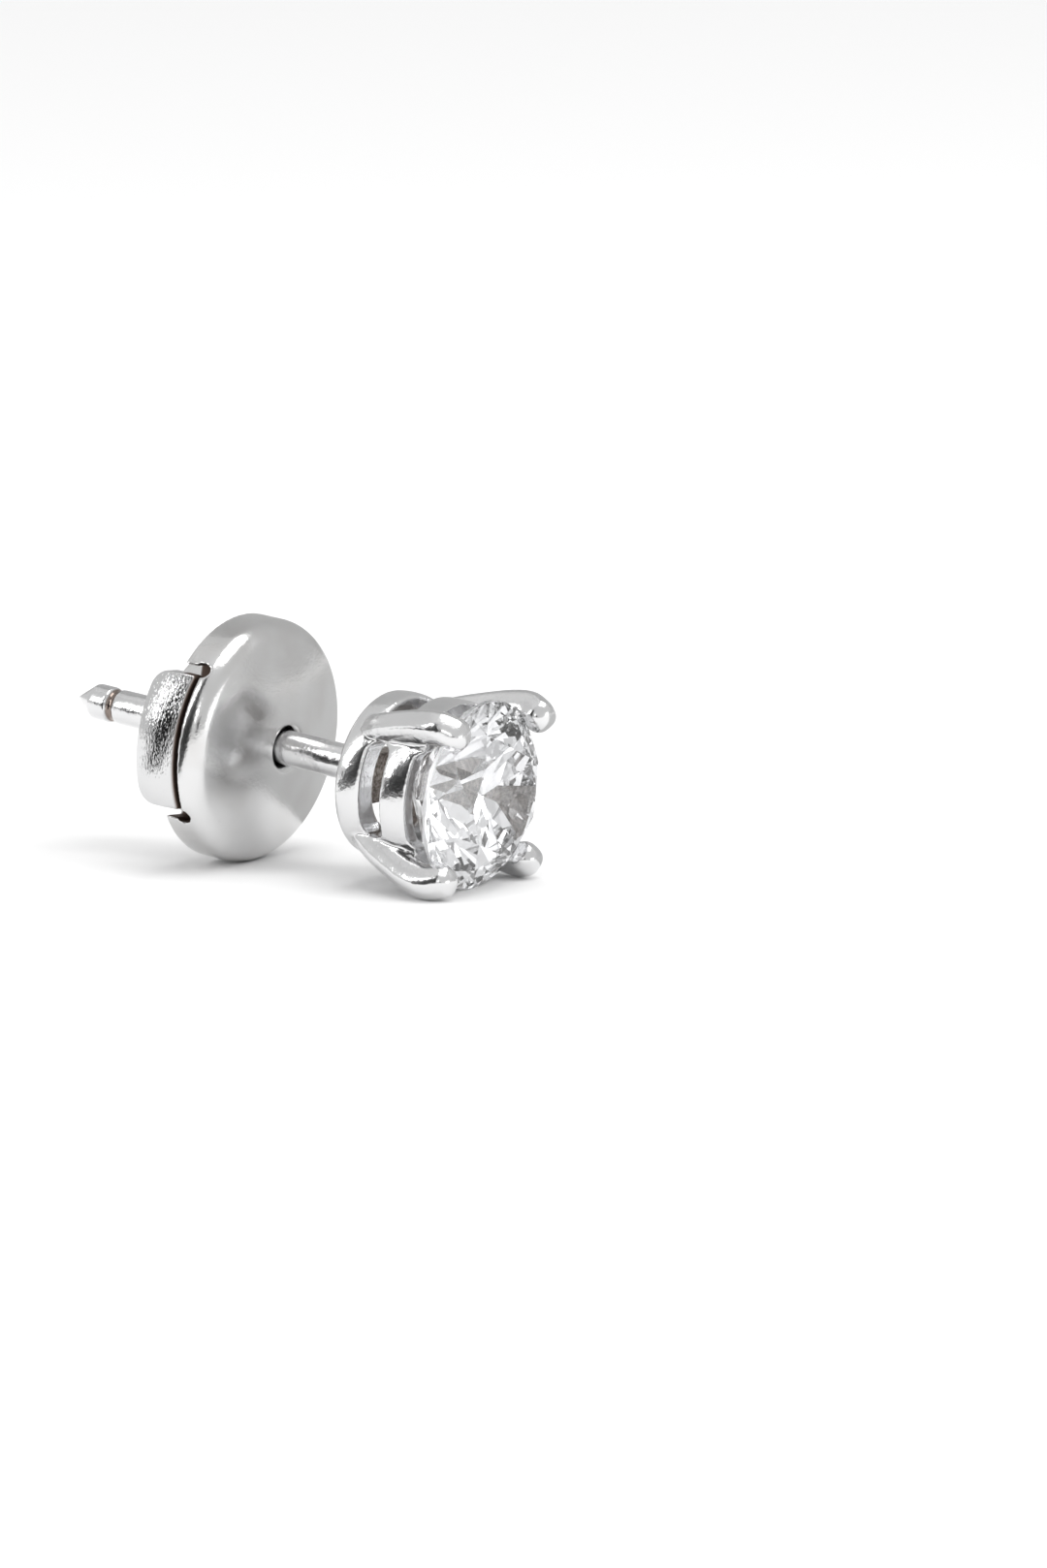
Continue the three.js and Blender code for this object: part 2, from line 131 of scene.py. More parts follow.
def tidied(mesh):
    """The mesh with doubled points merged, no empty faces, and every face outwards."""
    bm = bmesh.new()
    bm.from_mesh(mesh)
    bmesh.ops.remove_doubles(bm, verts=bm.verts, dist=DOUBLED)
    bmesh.ops.dissolve_degenerate(bm, edges=bm.edges, dist=COLLAPSED)
    bmesh.ops.recalc_face_normals(bm, faces=bm.faces)
    bm.to_mesh(mesh)
    bm.free()
    return mesh


def turned(profile, ring=False, sides=ROUND_SIDES):
    """Each profile point [r, y] goes round the post: x = r cos t, z = r sin t."""
    t = np.linspace(0, 2 * np.pi, sides, endpoint=False)
    r, y = np.array(profile, float).T[:, :, None]
    return shell(np.stack([r * np.cos(t), y + 0 * t, r * np.sin(t)], axis=-1), ring)


def slab(outline, low, high, turn=0.0):
    """A flat outline of [across, along] points, drawn out from the radius low to the radius high and turned
    about the post: the outline faces out along Z before the turn."""
    flat = np.array(outline, float)
    middle = np.broadcast_to(flat.mean(axis=0), flat.shape)
    rows = [(middle, low), (flat, low), (flat, high), (middle, high)]
    grid = np.stack([np.column_stack([points, np.full(len(points), z)]) for points, z in rows])
    x, y, z = np.moveaxis(grid, -1, 0)
    return shell(np.stack([x * np.cos(turn) + z * np.sin(turn), y, z * np.cos(turn) - x * np.sin(turn)], -1))


def arc(middle, radius, start, end, steps):
    """Points [radius, place] along an arc; angle 0 faces the stone and a quarter turn faces out."""
    angle = np.linspace(start, end, steps + 1)
    return np.column_stack([middle[0] + radius * np.sin(angle), middle[1] - radius * np.cos(angle)])


def rounded_outline(half_width, low, high, low_radius, high_radius, steps=CORNER_STEPS):
    """A rectangle with one radius for its two low corners and another for its high ones."""
    corners = [
        (half_width - low_radius, low + low_radius, low_radius, 0.0),
        (half_width - high_radius, high - high_radius, high_radius, np.pi / 2),
        (-half_width + high_radius, high - high_radius, high_radius, np.pi),
        (-half_width + low_radius, low + low_radius, low_radius, 1.5 * np.pi),
    ]
    return np.concatenate([arc((x, y), r, start, start + np.pi / 2, steps) for x, y, r, start in corners])


def box(low, high):
    """A plain block between two opposite corners."""
    (x0, y0, z0), (x1, y1, z1) = low, high
    return slab([(x0, y0), (x1, y0), (x1, y1), (x0, y1)], z0, z1)


# %% [markdown]
# ## Casting and polishing
# The metal parts are cast or soldered and then tumbled and polished, so no edge is sharp and every inside
# corner has a small fillet. Fusing the shells with the Boolean modifier gives the sharp shape. A voxel
# remesh and a few rounds of Smooth then round it all over, as polishing does, without a bevel per edge.

# %% Fuse, cut and polish
TUMBLE = 0.5  # share of the way to its neighbours that each round moves a point
SHARP_ANGLE = math.radians(40)  # steeper edges stay crisp


def fused(name, place, shells, cuts, voxel, rounds, seat=None):
    """One closed piece in the world: shells joined, cuts taken away, remeshed to the voxel in millimetres
    and smoothed, then the seat taken away, which stays crisp."""
    helpers = []

    def modified(mesh, steps):
        target = bpy.data.objects.new("blank", mesh)
        bpy.context.scene.collection.objects.link(target)
        helpers.append(target)
        for operation, other in steps:
            helper = bpy.data.objects.new("helper", other)
            bpy.context.scene.collection.objects.link(helper)
            helpers.append(helper)
            boolean = target.modifiers.new(operation, "BOOLEAN")
            boolean.operation = operation
            boolean.solver = "MANIFOLD"
            boolean.object = helper
        return target

    def baked(target):
        evaluated = target.evaluated_get(bpy.context.evaluated_depsgraph_get())
        return bpy.data.meshes.new_from_object(evaluated)

    steps = [("UNION", other) for other in shells[1:]] + [("DIFFERENCE", other) for other in cuts]
    blank = modified(shells[0], steps)
    remesh = blank.modifiers.new("Polished", "REMESH")
    remesh.mode = "VOXEL"
    remesh.voxel_size = voxel
    smooth = blank.modifiers.new("Tumbled", "SMOOTH")
    smooth.factor = TUMBLE
    smooth.iterations = rounds
    mesh = baked(blank)
    if seat is not None:
        mesh = baked(modified(mesh, [("DIFFERENCE", seat)]))
    mesh.transform(place.matrix)
    mesh.materials.clear()
    mesh.shade_smooth()
    mesh.set_sharp_from_angle(angle=SHARP_ANGLE)
    for helper in helpers:
        bpy.data.objects.remove(helper)
    piece = bpy.data.objects.new(name, mesh)
    bpy.context.scene.collection.objects.link(piece)
    mesh.calc_loop_triangles()
    print(name, "has", len(mesh.loop_triangles), "triangles")
    return piece


# %% [markdown]
# ## The basket
# Two plain rings, a heavier one behind and a thinner one nearer the stone, are cut from one turned wall.
# The wall is wider where the stone is, and windows between the claws leave the two rings. A flat bridge
# across the base ring carries the post.

# %% Base ring and gallery ring
STONE_DIAMETER = 5.3
GIRDLE = 0.16
CULET = 0.06
PAVILION_SLOPE = math.tan(math.radians(40.9))
BASE_RADIUS = 2.32
BASE_WALL = 0.72
BASE_HEIGHT = 0.85
BASE_BEVEL = 0.1
BASE_CROWN = 0.035  # how far its outer face bulges, from years of polishing
BRIDGE_WIDTH = 1.4
BRIDGE_THICKNESS = 0.5
WINDOW_HEIGHT = 0.78
WINDOW_CORNER = 0.3
GALLERY_WALL = 0.45
GALLERY_HEIGHT = 0.85
GALLERY_FILLET = 0.25
GALLERY_CROWN = 0.03
WEB_WIDTH = 0.12
CULET_CLEARANCE = 0.46
PAVILION_CLEARANCE = 0.2
DIAGONAL = math.sqrt(0.5)  # the claws stand at 45 degrees to the windows

stone_radius = STONE_DIAMETER / 2
pavilion_depth = (stone_radius - CULET / 2) * PAVILION_SLOPE
girdle_bottom = BRIDGE_THICKNESS + CULET_CLEARANCE + pavilion_depth
girdle_height = girdle_bottom + GIRDLE / 2
gallery_bottom = BASE_HEIGHT + WINDOW_HEIGHT
gallery_top = gallery_bottom + GALLERY_HEIGHT
gallery_inside = stone_radius - (girdle_bottom - gallery_top) / PAVILION_SLOPE + PAVILION_CLEARANCE
gallery_radius = gallery_inside + GALLERY_WALL
base_inside = BASE_RADIUS - BASE_WALL


def crowned(start, end, crown, steps=10):
    """A straight run of profile that bulges outwards by 4 s (1 - s) times its crown."""
    s = np.linspace(0, 1, steps + 1)[:, None]
    return np.array(start) + s * (np.array(end) - np.array(start)) + 4 * s * (1 - s) * np.array([crown, 0])


wall_end = gallery_top + GALLERY_FILLET
wall = turned(np.concatenate([
    [(base_inside, 0), (BASE_RADIUS - BASE_BEVEL, 0)],
    crowned((BASE_RADIUS, -BASE_BEVEL), (BASE_RADIUS, -BASE_HEIGHT), BASE_CROWN),
    crowned((gallery_radius, -gallery_bottom), (gallery_radius, -gallery_top), GALLERY_CROWN),
    [(gallery_radius, -wall_end), (gallery_inside, -wall_end)],
    [(gallery_inside, -gallery_bottom), (base_inside, -BASE_HEIGHT)],
]), ring=True)
bridge_reach = BASE_RADIUS - BASE_WALL / 2
bridge = box((-bridge_reach, -BRIDGE_THICKNESS, -BRIDGE_WIDTH / 2), (bridge_reach, 0, BRIDGE_WIDTH / 2))
print("gallery ring radius", round(gallery_radius, 3), "girdle height", round(girdle_height, 3))

# %% Windows between the claws
PRONG_WIDTH = 0.8
window_half = (gallery_radius - PRONG_WIDTH / 2) * DIAGONAL - WEB_WIDTH
window_inside = min(gallery_inside, base_inside) * DIAGONAL
window_outside = max(gallery_radius, BASE_RADIUS) + GALLERY_WALL
side_window = rounded_outline(window_half, -gallery_bottom, -BASE_HEIGHT, WINDOW_CORNER, WINDOW_CORNER)
open_front = rounded_outline(
    window_half, -wall_end - GALLERY_FILLET, -gallery_top, GALLERY_FILLET / 2, GALLERY_FILLET)
windows = [
    slab(outline, window_inside, window_outside, turn=quarter * np.pi / 2)
    for outline in (side_window, open_front) for quarter in range(4)
]
print("window half width", round(window_half, 3))

# %% [markdown]
# ## Claws
# Each claw is a bar of half-round wire, soldered to both rings and bent over the edge of the stone. Its
# middle line is a smooth curve in a plane through the post. Its section is a superellipse, squarer than an
# oval, so the outer face and the side face meet in a soft ridge. The end is rounded to a bead.

# %% Claws
PRONG_FOOT_DEPTH = 0.75
PRONG_DEPTH = 0.98
PRONG_SQUARENESS = 2.8
CLAW_WIDTH = 0.9
CLAW_RISE = 0.38
CLAW_LEAN = 0.14
GIRDLE_BITE = 0.1
PRONG_RISE = 0.21
PRONG_BOW = 0.09
WAIST_SHARE = 0.45
BEND_SHARE = 0.8
SPAN_POINTS = 60
CLAW_ROWS = 90
CAP_ROWS = 24
CLAW_SIDES = 72


def smooth_line(knots, count):
    """A centripetal Catmull-Rom curve through the knots, as count points at even steps of length. Each
    span is a cubic whose end slopes come from its neighbours, with knots spaced by the root of distance."""
    padded = np.vstack([2 * knots[0] - knots[1], knots, 2 * knots[-1] - knots[-2]])
    p0, p1, p2, p3 = padded[:-3], padded[1:-2], padded[2:-1], padded[3:]
    d0, d1, d2 = [np.sqrt(np.linalg.norm(b - a, axis=1))[:, None] for a, b in ((p0, p1), (p1, p2), (p2, p3))]
    start = d1 * ((p1 - p0) / d0 - (p2 - p0) / (d0 + d1) + (p2 - p1) / d1)
    end = d1 * ((p2 - p1) / d1 - (p3 - p1) / (d1 + d2) + (p3 - p2) / d2)
    u = np.linspace(0, 1, SPAN_POINTS, endpoint=False)[:, None, None]
    line = ((2 * u**3 - 3 * u**2 + 1) * p1 + (u**3 - 2 * u**2 + u) * start
            + (3 * u**2 - 2 * u**3) * p2 + (u**3 - u**2) * end)
    line = np.vstack([line.transpose(1, 0, 2).reshape(-1, knots.shape[1]), knots[-1]])
    length = np.concatenate([[0], np.cumsum(np.linalg.norm(np.diff(line, axis=0), axis=1))])
    even = np.linspace(0, length[-1], count)
    return np.column_stack([np.interp(even, length, column) for column in line.T])


def claw(turn):
    """The section, half width a and half depth b, is carried along the middle line. At angle t it is
    a |cos t|^(2/n) sideways and b |sin t|^(2/n) outwards. The cap shrinks it by a cosine."""
    foot = np.array([BASE_RADIUS, BASE_HEIGHT + PRONG_RISE])
    shoulder = np.array([stone_radius + PRONG_DEPTH / 2 - GIRDLE_BITE, girdle_height])
    bowed = [foot + share * (shoulder - foot) + (PRONG_BOW, 0) for share in (WAIST_SHARE, BEND_SHARE)]
    root = (BASE_RADIUS - PRONG_FOOT_DEPTH / 2, BASE_HEIGHT / 2)
    end = shoulder + (-CLAW_LEAN, CLAW_RISE)
    line = smooth_line(np.array([root, foot, *bowed, shoulder, end]), CLAW_ROWS)
    tangent = np.gradient(line, axis=0)
    tangent /= np.linalg.norm(tangent, axis=1)[:, None]

    cap_angle = np.concatenate([np.zeros(len(line)), np.linspace(0, np.pi / 2, CAP_ROWS + 1)[1:]])
    share = np.concatenate([np.linspace(0, 1, len(line)), np.ones(CAP_ROWS)])
    line = np.vstack([line, np.repeat(line[-1:], CAP_ROWS, axis=0)])
    tangent = np.vstack([tangent, np.repeat(tangent[-1:], CAP_ROWS, axis=0)])
    line = line + CLAW_WIDTH / 2 * np.sin(cap_angle)[:, None] * tangent
    size = np.cos(cap_angle)
    size[0] = 0
    size[-1] = 0
    swell = share**3
    width = size * (PRONG_WIDTH + (CLAW_WIDTH - PRONG_WIDTH) * swell) / 2
    depth = PRONG_FOOT_DEPTH + (PRONG_DEPTH - PRONG_FOOT_DEPTH) * np.minimum(share / BEND_SHARE, 1)
    depth = size * (depth + (CLAW_WIDTH - depth) * swell) / 2

    t = np.linspace(0, 2 * np.pi, CLAW_SIDES, endpoint=False)
    rounded = [np.sign(f) * np.abs(f) ** (2 / PRONG_SQUARENESS) for f in (np.cos(t), np.sin(t))]
    sideways, outwards = width[:, None] * rounded[0], depth[:, None] * rounded[1]
    radius = line[:, :1] + outwards * tangent[:, 1:]
    height = line[:, 1:] - outwards * tangent[:, :1]
    x = radius * np.cos(turn) - sideways * np.sin(turn)
    z = radius * np.sin(turn) + sideways * np.cos(turn)
    return shell(np.stack([x, -height, z], axis=-1))


claws = [claw(eighth * np.pi / 4) for eighth in (1, 3, 5, 7)]
print("claw faces:", len(claws[0].polygons))

# %% [markdown]
# ## Post
# A drawn wire with a turned groove that the safety back locks into, a collar and a pointed end. A small
# fillet of solder holds it to the bridge.

# %% Post
POST_DIAMETER = 1.0
POST_TIP = 0.72
COLLAR_DIAMETER = 1.03
COLLAR_LENGTH = 0.58
GROOVE_DIAMETER = 0.84
GROOVE_LENGTH = 0.25
SOLDER_FILLET = 0.22

post_radius = POST_DIAMETER / 2
collar_radius = COLLAR_DIAMETER / 2
groove_radius = GROOVE_DIAMETER / 2
tip_start = POST_LENGTH - POST_TIP
collar_start = tip_start - COLLAR_LENGTH
groove_start = collar_start - GROOVE_LENGTH
solder = np.linspace(0, np.pi / 2, CORNER_STEPS + 1)[:, None]
post = turned(np.concatenate([
    [(0, -BRIDGE_THICKNESS / 2), (post_radius + SOLDER_FILLET, -BRIDGE_THICKNESS / 2)],
    np.hstack([post_radius + SOLDER_FILLET * (1 - np.sin(solder)), SOLDER_FILLET * (1 - np.cos(solder))]),
    [(post_radius, groove_start), (groove_radius, groove_start), (groove_radius, collar_start)],
    [(collar_radius, collar_start), (collar_radius, tip_start), (0, POST_LENGTH)],
]), sides=WIRE_SIDES)
print("groove from", round(groove_start, 2), "to", round(collar_start, 2), "mm")

# %% [markdown]
# ## One soldered piece
# The stone's seat is cut last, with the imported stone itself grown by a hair, so the metal closes round the
# girdle as a real burred seat does.

# %% Fuse basket, claws and post
SEAT_GAP = 0.04
SETTING_VOXEL = 0.045
SETTING_ROUNDS = 5

stone_node = frame["nodes"]["round_brilliant"]
seat_mesh = stone_node.data.copy()
seat_mesh.transform(front.matrix.inverted())
seat_mesh = tidied(seat_mesh)
seat_mesh.transform(
    Matrix.Translation((0, -girdle_height, 0)) @ Matrix.Scale(1 + SEAT_GAP / stone_radius, 4)
    @ Matrix.Translation((0, girdle_height, 0)))
setting = fused("setting_polished", front, [wall, bridge, post, *claws], windows,
                voxel=SETTING_VOXEL, rounds=SETTING_ROUNDS, seat=seat_mesh)
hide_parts("setting_with_post")
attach(setting, "stud")

# %% [markdown]
# ## Safety back
# The housing is turned: a shallow dome with a rounded shoulder, a short skirt and a rear boss. A window is
# milled in each side for a push button, with a small round relief notch in each of its front corners, where
# the cutter turned.

# %% Housing
CLUTCH_DIAMETER = 7.0
DOME_RADIUS = 8.3
SHOULDER_RADIUS = 0.65
SKIRT_WIDTH = 0.75
BOSS_RADIUS = 2.5
BOSS_HEIGHT = 0.75
MOUTH_FLARE = 0.2
RIM_LIP = 0.1
WINDOW_SPAN = 4.3
RELIEF_RADIUS = 0.17
RELIEF_DEPTH = 0.22
BUTTON_SPAN = 3.8
BUTTON_LENGTH = 1.32
BUTTON_DEPTH = 1.05
BUTTON_PROUD = 0.08
BUTTON_CROWNING = 0.13
BUTTON_REAR_CORNER = 0.5
BUTTON_FRONT_CORNER = 0.08
BUTTON_TRAVEL = 0.45
TONGUE_WIDTH = 2.2
TONGUE_THICKNESS = 0.33
TONGUE_END_WALL = 0.35
POST_CLEARANCE = 0.08
SLOT_GAP = 0.14
TONGUE_GAP = 0.06
PRESS_GAP = 0.05
HAIR = 0.001  # keeps the notch's two front corners from meeting in one doubled point
POLISHED_OFF = 0.005  # the wheel takes this much off the rim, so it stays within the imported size
NOTCH_INNER_CORNER = 0.02
DOME_STEPS = 60
SHOULDER_STEPS = 16
HOUSING_VOXEL = 0.042
HOUSING_ROUNDS = 3

clutch_radius = CLUTCH_DIAMETER / 2 - POLISHED_OFF
hole_radius = post_radius + POST_CLEARANCE
mouth_radius = hole_radius + MOUTH_FLARE
shoulder_angle = math.asin((clutch_radius - SHOULDER_RADIUS) / (DOME_RADIUS - SHOULDER_RADIUS))
rim_place = DOME_RADIUS - (DOME_RADIUS - SHOULDER_RADIUS) * math.cos(shoulder_angle)
skirt_end = rim_place + SKIRT_WIDTH
boss_end = skirt_end + BOSS_HEIGHT
window_front = rim_place + RIM_LIP
button_front = window_front + SLOT_GAP
button_end = button_front + BUTTON_LENGTH
button_radius = clutch_radius + BUTTON_PROUD
button_inside = button_radius - BUTTON_DEPTH
pocket_inside = button_inside - BUTTON_TRAVEL - PRESS_GAP
first_tongue = button_front + TONGUE_GAP
second_tongue = first_tongue + TONGUE_THICKNESS + TONGUE_GAP

mouth_angle = math.asin(mouth_radius / DOME_RADIUS)
dome = arc((0, DOME_RADIUS), DOME_RADIUS, mouth_angle, shoulder_angle, DOME_STEPS)
mouth = arc((mouth_radius, dome[0, 1] + MOUTH_FLARE), MOUTH_FLARE, -math.pi / 2, 0, CORNER_STEPS)
shoulder_middle = (clutch_radius - SHOULDER_RADIUS, rim_place)
shoulder = arc(shoulder_middle, SHOULDER_RADIUS, shoulder_angle, math.pi / 2, SHOULDER_STEPS)
housing_blank = turned(np.concatenate([
    mouth[:-1], dome, shoulder[1:],
    [(clutch_radius, skirt_end), (BOSS_RADIUS, skirt_end), (BOSS_RADIUS, boss_end), (hole_radius, boss_end)],
]), ring=True)

FACING = {"near": -math.pi / 2, "far": math.pi / 2}
past = boss_end + BUTTON_LENGTH
half_window = WINDOW_SPAN / 2
window_outline = [(-half_window, window_front), (half_window, window_front),
                  (half_window, past), (-half_window, past)]
cutter_place = window_front - RELIEF_DEPTH + RELIEF_RADIUS
pockets = [slab(window_outline, pocket_inside, CLUTCH_DIAMETER, turn) for turn in FACING.values()]
for turn in FACING.values():
    for side in (-1, 1):
        middle = side * (half_window - RELIEF_RADIUS / 2)
        notch = rounded_outline(RELIEF_RADIUS, cutter_place - RELIEF_RADIUS, window_front + RELIEF_DEPTH,
                                RELIEF_RADIUS - HAIR, NOTCH_INNER_CORNER)
        pockets.append(slab(notch + (middle, 0), pocket_inside, CLUTCH_DIAMETER, turn))
channel_half = TONGUE_WIDTH / 2 + TONGUE_GAP
channel = box((-button_inside, first_tongue - TONGUE_GAP, -channel_half),
              (button_inside, second_tongue + TONGUE_THICKNESS + TONGUE_GAP, channel_half))
housing = fused("safety_back_housing", back, [housing_blank], [*pockets, channel],
                voxel=HOUSING_VOXEL, rounds=HOUSING_ROUNDS)
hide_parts("clutch_housing")
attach(housing, "back")

# %% [markdown]
# ## Push buttons
# Each button is a slab of the crowned rim, flat where the finger presses, with a tongue that reaches past
# the post. The slot in the tongue leaves the post free while the button travels.

# %% Push buttons
BARREL_POINTS = 41
BUTTON_VOXEL = 0.03
BUTTON_ROUNDS = 7


def push_button(which, tongue_place):
    """The slab is the overlap of a rounded outline, drawn outwards, and a barrel whose side is an arc:
    r = button radius - R (1 - cos a). The tongue is a bar with a slot as wide as the post hole."""
    towards = 1 if which == "far" else -1
    half = BUTTON_LENGTH / 2
    crown_radius = (half**2 + BUTTON_CROWNING**2) / (2 * BUTTON_CROWNING)
    a = np.linspace(-1, 1, BARREL_POINTS) * math.asin(half / crown_radius)
    side = np.column_stack([
        button_radius - crown_radius * (1 - np.cos(a)), button_front + half + crown_radius * np.sin(a)])
    barrel = turned(np.concatenate([[(0, button_front)], side, [(0, button_end)]]))
    outline = rounded_outline(
        BUTTON_SPAN / 2, button_front, button_end, BUTTON_FRONT_CORNER, BUTTON_REAR_CORNER)
    face = slab(outline, button_inside, CLUTCH_DIAMETER, FACING[which])

    def bar(start, end, gap, half_width):
        reach = sorted((towards * start, towards * end))
        low, high = tongue_place - gap, tongue_place + TONGUE_THICKNESS + gap
        return box((reach[0], low, -half_width), (reach[1], high, half_width))

    tongue = bar(-hole_radius - TONGUE_END_WALL, button_inside + PRESS_GAP, 0, TONGUE_WIDTH / 2)
    slot_end = tongue_place + TONGUE_THICKNESS + TONGUE_GAP
    bore_profile = [(0, tongue_place - TONGUE_GAP), (hole_radius, tongue_place - TONGUE_GAP),
                    (hole_radius, slot_end), (0, slot_end)]
    bores = [turned(bore_profile, sides=BORE_SIDES) for _ in range(2)]
    bores[1].transform(Matrix.Translation((towards * BUTTON_TRAVEL, 0, 0)))
    slab_object = bpy.data.objects.new("slab", face)
    barrel_object = bpy.data.objects.new("barrel", barrel)
    for each in (slab_object, barrel_object):
        bpy.context.scene.collection.objects.link(each)
    overlap = slab_object.modifiers.new("Overlap", "BOOLEAN")
    overlap.operation = "INTERSECT"
    overlap.solver = "MANIFOLD"
    overlap.object = barrel_object
    evaluated = slab_object.evaluated_get(bpy.context.evaluated_depsgraph_get())
    crowned_slab = bpy.data.meshes.new_from_object(evaluated)
    for each in (slab_object, barrel_object):
        bpy.data.objects.remove(each)
    cuts = [*bores, bar(0, BUTTON_TRAVEL, TONGUE_GAP, hole_radius)]
    button = fused("push_button_" + which + "_brushed", back, [crowned_slab, tongue], cuts,
                   voxel=BUTTON_VOXEL, rounds=BUTTON_ROUNDS)
    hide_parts("push_button_" + which)
    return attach(button, which + "_button")


near_button = push_button("near", first_tongue)
far_button = push_button("far", second_tongue)

# %% [markdown]
# ## Materials
# One function turns the hex colours that a screen shows into the linear values that light needs. Another
# adds a node. Patterns are worked out in millimetres beside the post: a Mapping node of type Texture undoes
# the tilt and the scale of a Place.

# %% Colour and node helpers
MICRON = 1e-6
# Painted shade: the dark brownish grey of the faces inside the button windows and their notches
POCKET_SHADE = "#6E5F57"
POCKET_SHADE_ROUGHNESS = 0.6


def linear(hex_colour):
    """sRGB hex to linear: c / 12.92 for dark values, else ((c + 0.055) / 1.055) ^ 2.4."""
    srgb = np.array([int(hex_colour[i:i + 2], 16) for i in (1, 3, 5)]) / 255
    return (*np.where(srgb <= 0.04045, srgb / 12.92, ((srgb + 0.055) / 1.055) ** 2.4).tolist(), 1.0)


def add(tree, kind, sockets=None, **settings):
    """Adds one shader node. settings are its own properties, and sockets maps an input's name or number to
    a value, or to another node's output, which is linked to it."""
    node = tree.nodes.new("ShaderNode" + kind)
    for name, value in settings.items():
        setattr(node, name, value)
    for name, value in (sockets or {}).items():
        if isinstance(value, bpy.types.NodeSocket):
            tree.links.new(value, node.inputs[name])
        else:
            node.inputs[name].default_value = value
    return node


def new_material(name):
    """An empty material with its Principled shader already linked to the output."""
    material = bpy.data.materials.new(name)
    material.use_nodes = True
    tree = material.node_tree
    tree.nodes.clear()
    shader = add(tree, "BsdfPrincipled")
    add(tree, "OutputMaterial", {"Surface": shader.outputs["BSDF"]})
    return material, tree, shader


def beside_post(tree, place):
    """Coordinates in millimetres along the directions of a Place."""
    here = add(tree, "TexCoord").outputs["Object"]
    return add(tree, "Mapping", {
        "Vector": here, "Location": place.origin, "Rotation": place.turn.to_euler("XYZ"),
        "Scale": (MM, MM, MM)}, vector_type="TEXTURE").outputs["Vector"]


def around_post(tree, place):
    """Coordinates beside the post, the same ones taken apart, and sqrt(x^2 + z^2), the distance from the
    middle line of the post."""
    here = beside_post(tree, place)
    parts = add(tree, "SeparateXYZ", {0: here})
    across = add(tree, "CombineXYZ", {"X": parts.outputs["X"], "Z": parts.outputs["Z"]}).outputs[0]
    return here, parts, add(tree, "VectorMath", {0: across}, operation="LENGTH").outputs["Value"]


def as_metal(tree, shader, colour, rough, bump):
    """A metal's whole look is its tint, its roughness and its bumps."""
    shader.inputs["Metallic"].default_value = 1.0
    tree.links.new(colour.outputs[2], shader.inputs["Base Color"])
    tree.links.new(rough.outputs[0], shader.inputs["Roughness"])
    tree.links.new(bump.outputs[0], shader.inputs["Normal"])
